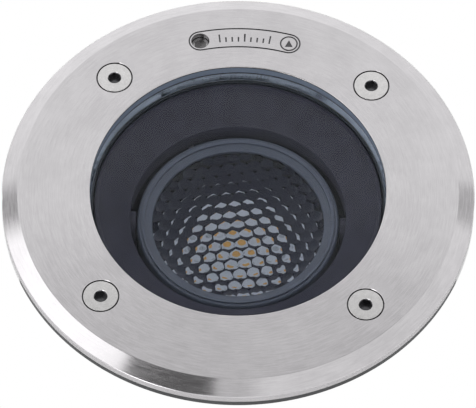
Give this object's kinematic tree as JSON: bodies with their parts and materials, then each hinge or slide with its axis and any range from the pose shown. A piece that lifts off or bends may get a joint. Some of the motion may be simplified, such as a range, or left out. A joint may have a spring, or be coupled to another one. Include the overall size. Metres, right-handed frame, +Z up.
{
  "type": "in ground well light",
  "caption": "Round in-ground well light: brushed steel trim and flush glass over a tilting lamp head in a sealed pot, set in a buried plastic sleeve.",
  "frame": {"origin": "centre of the ground hole at ground level, under the mounting sleeve's flange", "axes": "+Z up out of the ground, +Y towards the tilt adjuster and its marks, +X to the right when the marks are at the top"},
  "size_m": [0.165, 0.165, 0.153],
  "materials": {
    "brushed_trim": "fine concentric brushing",
    "bright_fastener": "turned and polished",
    "zinc_fastener": "zinc plated",
    "spring_steel": "rolled sheet",
    "clear_glass": "tempered, polished",
    "clear_lens": "moulded hexagon field",
    "black_rubber": "matt",
    "grey_pad": "soft pad",
    "grey_silicone": "blue-grey silicone",
    "cast_aluminium": "die cast and machined",
    "black_coated_metal": "fine powder coat",
    "satin_grey_metal": "satin blue-grey coat",
    "black_plastic": "moulded",
    "pale_plastic": "moulded",
    "potting": "cast resin",
    "amber_phosphor": "silicone dome",
    "brass_metal": "turned"
  },
  "bodies": {
    "luminaire": {"trim_ring": "brushed_trim", "trim_screws": "bright_fastener", "trim_gasket": "black_rubber", "front_glass": "clear_glass", "glass_gasket": "grey_silicone", "glass_frame": "cast_aluminium", "frame_o_ring": "black_rubber", "housing_pot": "black_coated_metal", "glare_cup": "black_coated_metal", "cup_screws": "zinc_fastener", "yoke_left": "spring_steel", "yoke_right": "spring_steel", "yoke_screws": "zinc_fastener", "pivot_bushes": "pale_plastic", "adjust_bush": "brass_metal", "adjust_seal": "black_rubber", "driver_case": "black_plastic", "driver_lid": "black_plastic", "driver_core": "potting", "driver_screws": "zinc_fastener", "terminal_block": "pale_plastic", "terminal_screws": "zinc_fastener", "earth_tag": "brass_metal", "earth_screw": "zinc_fastener", "gland_washer": "black_rubber", "gland_body": "black_plastic", "gland_seal": "black_rubber", "gland_nut": "black_plastic", "gland_locknut": "black_plastic", "vent_plug": "black_plastic", "vent_nut": "black_plastic", "mounting_sleeve": "black_plastic", "conduit_sockets": "black_plastic", "retaining_springs": "spring_steel", "spring_screws": "zinc_fastener"},
    "lamp_head": {"lens_bezel": "satin_grey_metal", "hex_lens": "clear_lens", "lens_gasket": "black_rubber", "light_cone": "black_coated_metal", "cob_holder": "pale_plastic", "holder_screws": "zinc_fastener", "cob_board": "pale_plastic", "cob_phosphor": "amber_phosphor", "head_can": "black_coated_metal", "thermal_pad": "grey_pad", "heat_sink": "cast_aluminium", "head_screws": "zinc_fastener", "tilt_lever": "spring_steel", "lever_screws": "zinc_fastener", "lever_pin": "zinc_fastener", "pivot_pins": "zinc_fastener"},
    "adjust_carriage": {"adjust_nut": "brass_metal"},
    "adjust_spindle": {"adjust_screw": "bright_fastener", "screw_clip": "spring_steel"}
  },
  "joints": [
    {"name": "head_tilt", "type": "hinge", "parent": "luminaire", "child": "lamp_head", "pos_m": [0, 0, -0.0192], "axis": [-1, 0, 0], "range_deg": [0, 20]},
    {"name": "carriage_slide", "type": "slide", "parent": "luminaire", "child": "adjust_carriage", "axis": [0, 0, -1], "range_m": [0, 0.01873]},
    {"name": "spindle_spin", "type": "hinge", "parent": "luminaire", "child": "adjust_spindle", "pos_m": [-0.01577, 0.06234, -0.01], "axis": [0, 0, 1], "range_deg": [0, 3371.72]}
  ],
  "couplings": [
    {"joint": "carriage_slide", "follows": "head_tilt", "m_per_rad": 0.053636},
    {"joint": "spindle_spin", "follows": "head_tilt", "ratio": 168.5}
  ]
}
